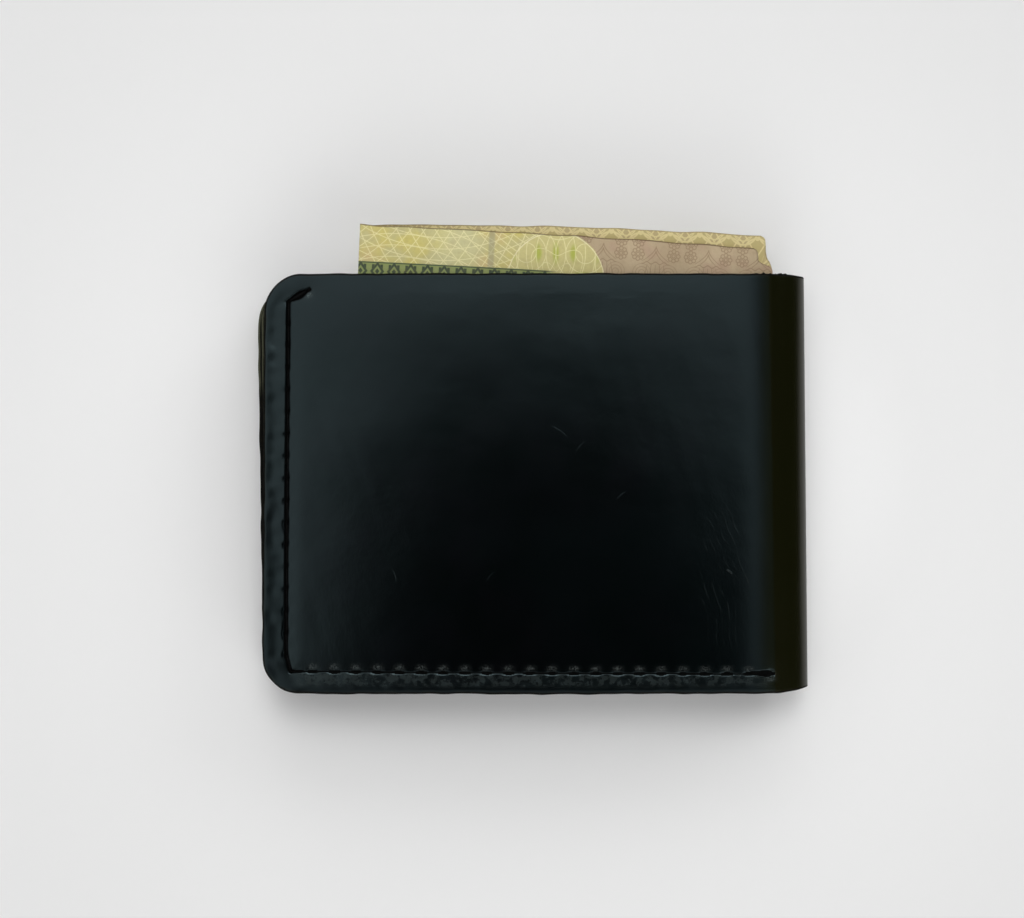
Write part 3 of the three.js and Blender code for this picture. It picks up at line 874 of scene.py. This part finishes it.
def cover_material(name, painted_reflection_tint):
    """Smooth black leather with a soft gloss and a painted reflection tint, worn olive-brown where it bends,
    an olive-brown that also paints a warm reflection. The front half's has fine creases and scratches."""
    graph = material_graph(name)
    s, y, level = graph.axes
    edge, rub_and_highlight = graph.number("edge"), graph.number("rub_and_highlight")
    fine = graph.noise(3.2, 4.0, 0.6)
    mottle = graph.noise(0.11, 3.0, 0.55)
    bend = s.ramp(43.5, 47.5)

    marks = [fan_of_creases(graph, s, y) * 0.22]
    marks += [scratch(s, y, start, end, width) * strength for start, end, width, strength in SCRATCHES]
    marks = highest(marks) * level.ramp(35, 20)
    worn = edge.ramp(0.9, 0.1) * graph.noise(0.55, 4.0).ramp(0.35, 0.7)
    # lighter spots beside the bottom stitches: scuffing, and painted highlights on the puckered leather
    scuffs_and_highlights = rub_and_highlight * graph.noise(2.4, 4.0, 0.65).ramp(0.38, 0.62)
    lower_border = edge.ramp(4.4, 4.0) * y.ramp(-37.5, -38.5) * s.ramp(-51, -47) * s.ramp(50, 45)
    handled = lower_border * graph.noise(0.8, 4.0, 0.6).ramp(0.40, 0.62) * edge.ramp(0.8, 2.6)

    colour = graph.mix(mottle.ramp(0.3, 0.7), (0.0002, 0.0005, 0.0005), (0.0007, 0.0006, 0.0010))
    colour = graph.mix(graph.noise(0.035, 2.0).ramp(0.4, 0.65) * 0.6, colour, (0.0003, 0.0012, 0.0012))
    # olive-brown where the leather bends: wear, and a painted warm reflection
    colour = graph.mix(bend, colour, (0.0040, 0.0044, 0.0006))
    colour = graph.mix(worn * 0.55, colour, (0.020, 0.019, 0.012))
    colour = graph.mix(marks * 0.5, colour, (0.030, 0.034, 0.033))
    colour = graph.mix(scuffs_and_highlights * 0.8, colour, (0.055, 0.060, 0.057))
    colour = graph.mix(handled * 0.45, colour, (0.018, 0.021, 0.019))

    matt = scuffs_and_highlights * 0.2 + edge.ramp(4.4, 3.4) * s.ramp(46, 40) * 0.07 + handled * 0.10 + marks * 0.12
    matt = matt + bend * 0.05 + s.ramp(52.5, 57.0) * 0.15
    roughness = between(0.125, 0.16, mottle) + fine * 0.02 + matt
    height = graph.cells(2.6).ramp(0.0, 0.5) * 0.003 + fine * 0.004 + mottle * 0.02
    height = height + graph.noise(0.9, 2.0) * 0.006 + marks * 0.02
    return graph.finished(colour, roughness, 0.5, height, Specular_Tint=painted_reflection_tint)


def edge_material():
    """The cut edge of leather, burnished dark with ink, with brown fibres, and the margin beside the free
    edge, where the same dark look is painted shade for the gap between the halves.
    """
    graph = material_graph("burnished_edge_and_painted_shade")
    s, y, _ = graph.axes
    fibres = graph.noise(2.2, 5.0, 0.65, (1.0, 1.0, 3.0))
    patches = graph.noise(0.4)
    colour = graph.mix(fibres.ramp(0.4, 0.7), (0.0014, 0.0014, 0.0012), (0.0080, 0.0075, 0.0048))
    colour = graph.mix(patches.ramp(0.5, 0.75) * 0.6, colour, (0.011, 0.0095, 0.0055))
    # the bare edge at the back half's upper left, lighter olive as a painted highlight on an edge in shade
    bare_edge_highlight = graph.number("edge").ramp(0.6, 0.3) * y.ramp(17, 22) * s.ramp(-56.2, -57.0) * fibres.ramp(0.2, 0.5)
    colour = graph.mix(bare_edge_highlight * 0.9, colour, (0.075, 0.078, 0.050))
    return graph.finished(colour, between(0.6, 0.85, fibres), 0.06, fibres * 0.09 + patches * 0.05)


def groove_material():
    """Leather pressed in under the stitches: dark and dull as painted shade for the deep groove, with a
    mottle of dust and wax.
    """
    graph = material_graph("pressed_groove_painted_shade")
    dust = graph.noise(2.6, 4.0, 0.6)
    colour = graph.mix(dust.ramp(0.45, 0.75), (0.0004, 0.0005, 0.0005), (0.0030, 0.0032, 0.0030))
    return graph.finished(colour, between(0.6, 0.85, dust), 0.06, dust * 0.04)


def flesh_material():
    """The napped inside of the leather, darker near its edges: edge ink, and painted shade between the
    layers.
    """
    graph = material_graph("leather_flesh_side")
    nap = graph.noise(3.5, 6.0, 0.7)
    clumps = graph.noise(0.5)
    colour = graph.mix(clumps.ramp(0.35, 0.7), (0.010, 0.0095, 0.0085), (0.022, 0.020, 0.017))
    # darker near the edges: edge ink, and painted shade between the layers
    colour = graph.mix(graph.number("edge").ramp(3.2, 1.2) * 0.9, colour, (0.0010, 0.0010, 0.0009))
    nap_look = {"height": nap * 0.10 + clumps * 0.06, "Sheen_Weight": 0.1, "Sheen_Roughness": 0.6}
    return graph.finished(colour, between(0.8, 0.98, nap), 0.25, **nap_look)


def pocket_material():
    """Thinner black leather with a fine pebbled grain."""
    graph = material_graph("pocket_leather")
    pebbles = graph.cells(1.5, "SMOOTH_F1")
    mottle = graph.noise(0.12)
    rubbed = graph.number("edge").ramp(1.0, 0.1) * graph.noise(0.6, 4.0).ramp(0.4, 0.7)
    colour = graph.mix(mottle, (0.0045, 0.0050, 0.0054), (0.0085, 0.0090, 0.0094))
    colour = graph.mix(rubbed * 0.6, colour, (0.028, 0.026, 0.020))
    colour = graph.mix(graph.number("seam").ramp(0.5, 0.1) * 0.5, colour, (0.002, 0.002, 0.002))
    height = pebbles.ramp(0.6, 0.0) * 0.05 + graph.noise(3.0, 4.0, 0.6) * 0.02
    return graph.finished(colour, between(0.38, 0.50, mottle) + pebbles * 0.1, 0.5, height)


def thread_material():
    """Waxed black thread with fine filaments."""
    graph = material_graph("waxed_thread")
    length, turn, _ = graph.axes
    filaments = (length * 16 + turn * 6).sin().ramp(-0.6, 1.0)
    fuzz = graph.noise(4.0, 4.0)
    colour = graph.mix(filaments * fuzz, (0.0006, 0.0006, 0.0007), (0.0035, 0.0038, 0.0040))
    return graph.finished(colour, between(0.6, 0.8, fuzz), 0.12, filaments * 0.02 + fuzz * 0.02)


# The banknote's print

def polar(u, v, centre_u, centre_v):
    """Distance and angle from a centre."""
    du, dv = u - centre_u, v - centre_v
    return (du * du + dv * dv).math("SQRT"), dv.math("ARCTAN2", du)


def around(u, v, centres):
    """Distances from several centres."""
    return [polar(u, v, *centre)[0] for centre in centres]


def repeated(u, pitch, start):
    """Signed distance from the nearest of a row of centres."""
    return ((u - start) / pitch + 0.5).math("FLOORED_MODULO", 1.0) * pitch - pitch / 2


def rings(radius, spacing, width):
    """Concentric thin lines, spacing apart."""
    return (radius * (math.pi / spacing)).sin().line(width * math.pi / spacing)


def rosette(du, dv):
    """A flower of eight round petals about 3 mm across, in outline."""
    turn = math.pi / 4
    radius, angle = polar(du, dv, 0.0, 0.0)
    angle = repeated(angle, turn, 0.0)
    petal, _ = polar(radius * angle.cos(), radius * angle.sin(), 0.94, 0.0)
    return (petal - 0.37).line(0.13).most((radius - 0.33).line(0.12))


def ogee(du, down, top, foot, width):
    """A peaked arch that flares to its feet, in outline."""
    rise = ((down - top) / (foot - top)).most(0.0)
    side = (du.abs() - rise.math("POWER", 1.7) * width).line(0.14)
    return side * (down - top).ramp(-0.1, 0.1) * (down - foot).ramp(0.15, -0.05)


def flower_band(u, down):
    """Rosettes in pairs, with peaked arches, folds and scallops between them."""
    period, first = 10.7, 54.9
    arch = repeated(u, period, first + period / 2)
    shapes = [
        rosette(repeated(u, period, first + offset), down - row)
        for row in (0.15, 2.85)
        for offset in (-1.72, 1.72)
    ]
    shapes += [ogee(arch, down, top, 4.1, width) for top, width in ((1.1, 2.6), (2.0, 1.5))]
    scallop = down - 4.5 + (arch * (2 * math.pi / 1.75)).cos() * 0.22
    folds = (arch / ((down - 4.0) * 0.12 + 1.0) * 4.2).sin().line(0.30)
    curl, _ = polar(repeated(u, period / 2, first + period / 4), down, 0.0, 6.6)
    shapes += [
        scallop.line(0.14) * arch.abs().ramp(3.0, 2.6),
        folds * (down - 4.7).ramp(0.0, 0.3) * (down - 9.0).ramp(3.0, 0.0) * arch.abs().ramp(2.4, 2.0),
        rings(curl, 0.62, 0.09) * (curl - 1.9).ramp(0.1, -0.1) * 0.8,
    ]
    return highest(shapes)


def interlaced_band(u, v):
    """Bold pale arcs that cross one another, with pointed leaves where they meet."""
    arc, crossing = repeated(u, 6.0, 0.0), repeated(u, 6.0, 3.0)
    high, _ = polar(arc, v, 0.0, 70.8)
    low, _ = polar(crossing, v, 0.0, 66.6)
    bud, _ = polar(crossing, v, 0.0, 69.3)
    arcs = ((high, 2.9, 0.26), (high, 2.1, 0.16), (low, 2.7, 0.26), (low, 3.4, 0.16))
    shapes = [(radius - size).line(width) for radius, size, width in arcs]
    leaf = (arc.abs() - (70.0 - v) * 0.62 - 0.30).line(0.24)
    return highest([*shapes, leaf, bud.ramp(0.5, 0.38)])


def printed_disc(graph, u, v, radius, angle):
    """A pale green disc of overlapping petals under a web of fine rings."""
    petals = around(u, v, ((34.0, 66.0), (46.0, 66.5)))
    lens = (petals[0] * 0.9).sin() * (petals[1] * 0.9).sin()
    star = rings(radius + (angle * 5).sin() * 1.2, 3.2, 0.12)
    web = highest([star, *(rings(petal, 2.0, 0.12) for petal in petals)])
    colour = graph.mix(lens.ramp(0.0, 0.7), (0.60, 0.54, 0.24), (0.42, 0.46, 0.075))
    colour = graph.mix(web * 0.62, colour, (0.83, 0.79, 0.44))
    return graph.mix((radius - 9.9).line(0.24) * 0.8, colour, (0.84, 0.78, 0.50))


def lobed_rings(u, v, centre, lobes, depth, spacing, width, size):
    """Rings with lobes round a centre: their lines, and the distance inwards from the outermost."""
    radius, angle = polar(u, v, *centre)
    lobed = radius + (angle * lobes).cos() * depth
    return rings(lobed, spacing, width), size - lobed


def lozenge_band(graph, u, down):
    """A dark green band of lozenges and bars between two rails."""
    across = down - 9.3
    lozenge = repeated(u, 3.4, 0.6).abs() / 1.15 + across.abs() / 1.55
    bars = (repeated(u, 1.7, 1.45).abs() - 0.22).ramp(0.10, 0.0) * across.abs().ramp(1.5, 1.3)
    rails = (across.abs() - 1.75).line(0.16)
    shapes = [(lozenge - 1.0).line(0.36), lozenge.ramp(0.42, 0.34), bars * lozenge.ramp(1.0, 1.25), rails]
    return graph.mix(highest(shapes), (0.25, 0.31, 0.11), (0.020, 0.050, 0.036)), across.abs().ramp(2.0, 1.85)


def note_back_pattern(graph, u, v, crossing):
    """The leaf behind: crossing rings, a lobed shield and the interlaced band along the top."""
    ground = graph.mix(repeated(u, 6.0, 3.0).abs().ramp(0.6, 2.6), (0.36, 0.31, 0.10), (0.33, 0.25, 0.13))
    ground = graph.mix(crossing * v.ramp(66.2, 65.8) * 0.5, ground, (0.66, 0.58, 0.30))
    lines, inwards = lobed_rings(u, v, (-42.0, 34.0), 8, 1.4, 3.0, 0.16, 19.0)
    ground = graph.mix(inwards.ramp(-0.2, 0.2) * 0.7, ground, (0.42, 0.30, 0.17))
    ground = graph.mix(lines * inwards.ramp(-0.4, 0.0) * 0.8, ground, (0.70, 0.62, 0.34))
    return graph.mix(interlaced_band(u, v), ground, (0.80, 0.72, 0.36))


def note_material(name, printed_side):
    """Printed cotton paper: fine guilloche lines over soft tints, with no words, numbers or portrait."""
    graph = material_graph(name)
    u, v, _ = graph.axes
    down = NOTE_HEIGHT - v
    fibre = graph.noise(2.0, 5.0, 0.65)
    blotch = graph.noise(0.10)
    tint = graph.noise(0.16, 2.0)
    crossing = highest([rings(r, 2.3, 0.125) for r in around(u, v, ((-16, 88), (16, 98), (46, 90), (8, 34)))])

    left = graph.mix(tint.ramp(0.35, 0.6), (0.62, 0.54, 0.17), (0.55, 0.50, 0.24))
    left = graph.mix(blotch.ramp(0.50, 0.66) * 0.8, left, (0.62, 0.47, 0.22))
    left = graph.mix((u - 20).abs().ramp(7, 2) * 0.6, left, (0.62, 0.60, 0.34))
    left = graph.mix(crossing * 0.62, left, (0.85, 0.80, 0.45))
    radius, angle = polar(u, v, 40.3, 60.6)
    left = graph.mix(radius.ramp(10.0, 9.85), left, printed_disc(graph, u, v, radius, angle))

    mauve = graph.mix(blotch.ramp(0.3, 0.7), (0.43, 0.33, 0.21), (0.51, 0.40, 0.26))
    mauve = graph.mix(tint.ramp(0.5, 0.68) * 0.5, mauve, (0.44, 0.29, 0.21))
    lines, inwards = lobed_rings(u, v, (64.0, 30.0), 12, 1.1, 2.6, 0.14, 17.4)
    mauve = graph.mix(lines * inwards.ramp(-0.2, 0.2) * 0.5, mauve, (0.24, 0.15, 0.085))
    mauve = graph.mix(flower_band(u, down) * 0.55, mauve, (0.22, 0.14, 0.075))
    beyond = (u - 48).ramp(-0.4, 0.4).most((u - 40.3).ramp(0.0, 0.1) * radius.ramp(9.95, 10.1))
    colour = graph.mix(beyond * radius.ramp(9.85, 10.0), left, mauve)

    security_strip = (u - 26.9).line(0.85)
    colour = graph.mix(security_strip * 0.5, colour, (0.30, 0.28, 0.20))
    band, in_band = lozenge_band(graph, u, down)
    colour = graph.mix(in_band * u.ramp(41, 38) * 0.94, colour, band)
    colour = graph.mix(u.ramp(0.2, -0.2), colour, note_back_pattern(graph, u, v, crossing))

    grime = graph.noise(0.6, 4.0).ramp(0.5, 0.8)
    colour = graph.mix(grime * 0.22, colour, (0.30, 0.22, 0.12))
    # darker brown along each leaf's top edge: painted shade of the paper's edge
    colour = graph.mix(down.ramp(0.32, 0.06) * 0.75, colour, (0.14, 0.085, 0.035))
    colour = graph.mix(fibre.ramp(0.35, 0.75) * 0.14, colour, (0.26, 0.20, 0.11))
    if not printed_side:
        colour = graph.mix(0.55, colour, (0.58, 0.47, 0.24))
    creased = graph.noise(0.35, stretch=(1.0, 0.5, 1.0))
    return graph.finished(colour, between(0.72, 0.9, fibre), 0.3, fibre * 0.02 + creased * 0.16)


def floor_material():
    """Matt and pale, with painted light: paler towards the middle, and a little paler still round the wallet,
    which lifts its shadow there.
    """
    graph = material_graph("floor", "Object")

    def oval(centre, half_size):
        """Distance from a centre over the floor, in half sizes."""
        a, b = ((graph.axes[i] - centre[i]) / half_size[i] for i in range(2))
        return (a * a + b * b).math("SQRT")

    # painted light: paler towards the middle and paler still round the wallet, which lifts its shadow there
    tone_and_painted_light = graph.noise(9.0) * 0.1 + oval((0, 0), (1, 1)).ramp(0.15, 0.07) * 0.9
    painted_light_round_wallet = oval((0.012, 0.004), (0.062, 0.055)).ramp(1.15, 0.75)
    colour = graph.mix(tone_and_painted_light, (0.79, 0.79, 0.79), (0.86, 0.86, 0.86))
    return graph.finished(graph.mix(painted_light_round_wallet, colour, (0.94, 0.94, 0.94)), 0.9, 0.0)


MATERIALS = {
    # the cover's teal and the spine's brown specular tints are painted reflection colours, standing in for
    # cool light overhead and warm light at the side
    "cover": cover_material("cover_leather", (0.66, 0.93, 1.0, 1)),
    "spine": cover_material("spine_leather", (0.68, 0.65, 0.53, 1)),
    "edge": edge_material(),
    "groove": groove_material(),
    "flesh": flesh_material(),
    "pocket": pocket_material(),
    "thread": thread_material(),
    "note": note_material("banknote_print", True),
    "note_back": note_material("banknote_inside", False),
}


# The object

def bend_bodies(name):
    """The two bodies on either side of a half's bend, and where the bend starts and ends, in metres."""
    middle = ((SPINE_X + RADIUS) * MM, 0, RADIUS * MM)
    if HALVES[name]["front"]:
        return ("spine", "front_half"), middle, (SPINE_X * MM, 0, THICKNESS * MM)
    return ("back_half", "spine"), (SPINE_X * MM, 0, 0), middle


def build_half(name):
    half = HALVES[name]
    body = f"{name}_half"
    bodies, start, end = bend_bodies(name)
    cover = build_cover(f"{name}_outer_leather", half)
    wall = build_wall(f"{name}_inner_leather", half)
    for piece, node, slot in ((cover, "cover", "cover_leather"), (wall, "bill_wall", "pocket_leather")):
        spine_node = f"spine_{node}" if half["front"] else None
        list(bodies)
        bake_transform(piece)
        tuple(start)
        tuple(end)
        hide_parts(f"{name}_{node}", *([spine_node] if spine_node else []))

    sheets = [("pocket_base", BASE_TOP, lambda s, y: base_depth(half, s, y), BASE, None)]
    for index, pocket in enumerate(("upper", "middle", "lower")):
        body_cut = (MOUTHS[index + 1] + 0.05, BODY_FEET[index]) if index < 2 else None
        depth = lambda s, y, index=index: pocket_depth(half, index, s, y)
        sheets.append((f"{pocket}_card_pocket", MOUTHS[index], depth, POCKET, body_cut))
    for part, top, depth, thickness, body_cut in sheets:
        piece = build_pocket_sheet(f"{name}_{part}_leather", half, top, depth, thickness, body_cut)
        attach(piece, body)
        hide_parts(f"{name}_{part}")

    holes = stitch_holes(seam_corners(half), STITCHES)
    last = len(holes) - 2
    side_seam = seam_corners(half)[2][0]
    outwards = lambda s, y: 0.80 - 0.10 * smooth(side_seam + 1, side_seam + 5, s)
    inwards = lambda s, y: inner_surface(half, s, y) + THREAD_R * 0.35
    under = lambda s, y: base_depth(half, s, y) - THREAD_R * 0.5
    pocket_holes = stitch_holes(POCKET_SEAM, [POCKET_STITCHES])
    seams = [("seam", holes, outwards, (0, last - 1, last)), ("pocket_seam", pocket_holes, under, ())]
    for seam, seam_holes, lie_out, doubled in seams:
        piece = build_threads(f"{name}_{seam}_stitches", half, seam_holes, lie_out, inwards, doubled)
        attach(piece, body)
        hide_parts(f"{name}_{seam}_thread")


for half_name in HALVES:
    build_half(half_name)

note = build_banknote("folded_banknote", HALVES["front"])
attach(note, "note")
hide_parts("banknote")


# Stage

SURROUND = 0.40
OVERHEAD = 0.83
BEHIND = 0.79  # what the camera sees beyond the floor
SOFT_BOXES = [  # towards, inner and outer angle, strength
    ((0.04, 0.59, 1.0), 7, 24, 3.4),
    ((1.0, -1.0, 1.0), 12, 28, 1.2),
]
DARK_CARDS = [  # centre, half size, softness, strength
    ((0.020, -0.170), (0.26, 0.30), 0.33, 0.99),
    ((0.0, -0.70), (0.60, 0.50), 0.25, 0.60),
]
LOW_LIGHTS = [  # towards, strength
    ((1.0, 1.0, 0.3), 1.20),
    ((-1.0, 1.0, 0.3), 0.23),
    ((0.0, 1.0, 0.27), 1.05),
    ((0.0, -1.0, 0.27), 1.10),
]


def build_floor():
    size = 3.2
    below = -0.1 * MM  # the leather's waves reach a little below 0
    bpy.ops.mesh.primitive_grid_add(x_subdivisions=4, y_subdivisions=4, size=size, location=(0, 0, below))
    floor = bpy.context.object
    floor.name = "floor"
    floor.data.materials.append(floor_material())


def build_camera():
    """Straight above the wallet."""
    distance = 0.420
    field = 0.2063  # width seen at the wallet's top
    camera = bpy.data.objects.new("camera", bpy.data.cameras.new("camera"))
    camera.data.sensor_width = 36
    camera.data.lens = 36 * distance / field
    camera.location = (-0.0052, 0.0050, THICKNESS * MM + distance)
    bpy.context.scene.collection.objects.link(camera)
    bpy.context.scene.camera = camera


def build_world():
    """A soft studio dome: soft boxes over a dim surround, dark cards that the leather mirrors, and plain
    behind."""
    world = bpy.data.worlds.new("studio")
    bpy.context.scene.world = world
    graph = Graph(world, "Generated")
    x, y, z = graph.axes

    def soft_box(towards, inner, outer, strength):
        """A round patch in a direction, full inside one angle and gone outside another, in degrees."""
        towards = np.array(towards) / np.linalg.norm(towards)
        angle = (x * towards[0] + y * towards[1] + z * towards[2]).math("ARCCOSINE")
        return angle.ramp(math.radians(outer), math.radians(inner)) * strength

    def card(centre, half_size, softness, strength):
        """An oval card overhead. centre and half_size are slopes away from straight up, along x and y."""
        height = z.most(0.02)
        a, b = ((axis / height - middle) / size for axis, middle, size in zip((x, y), centre, half_size))
        return (a * a + b * b).math("SQRT").ramp(1 + softness, 1 - softness) * strength

    upright_card = y.abs().ramp(0.40, 0.22) * x.ramp(0.20, 0.42) * 0.95  # on the right
    light = card((0, 0), (0.92, 0.92), 0.19, OVERHEAD - SURROUND) + SURROUND
    for settings in SOFT_BOXES:
        light = light + soft_box(*settings)
    for dark in (*(card(*settings) for settings in DARK_CARDS), upright_card):
        light = light * (1.0 - dark)
    seen = Signal(graph, graph.add("LightPath", "Is Camera Ray", {}))
    graph.join(between(light, BEHIND, seen), graph.tree.nodes["Background"].inputs["Strength"])
    graph.tree.nodes["Background"].inputs["Color"].default_value = (1.0, 1.0, 1.0, 1)


def build_low_lights():
    """Wide soft lights near the horizon, which fill the floor round the wallet and aren't mirrored in the
    leather."""
    for number, (towards, strength) in enumerate(LOW_LIGHTS):
        lamp = bpy.data.lights.new(f"low_light_{number}", "SUN")
        lamp.energy = strength
        lamp.angle = math.radians(40)
        light = bpy.data.objects.new(lamp.name, lamp)
        light.rotation_euler = Vector(towards).to_track_quat("Z", "Y").to_euler()
        light.visible_glossy = False
        bpy.context.scene.collection.objects.link(light)


build_floor()
build_camera()
build_world()
build_low_lights()
bpy.context.scene.view_settings.view_transform = "Standard"
bpy.context.scene.view_settings.look = "None"
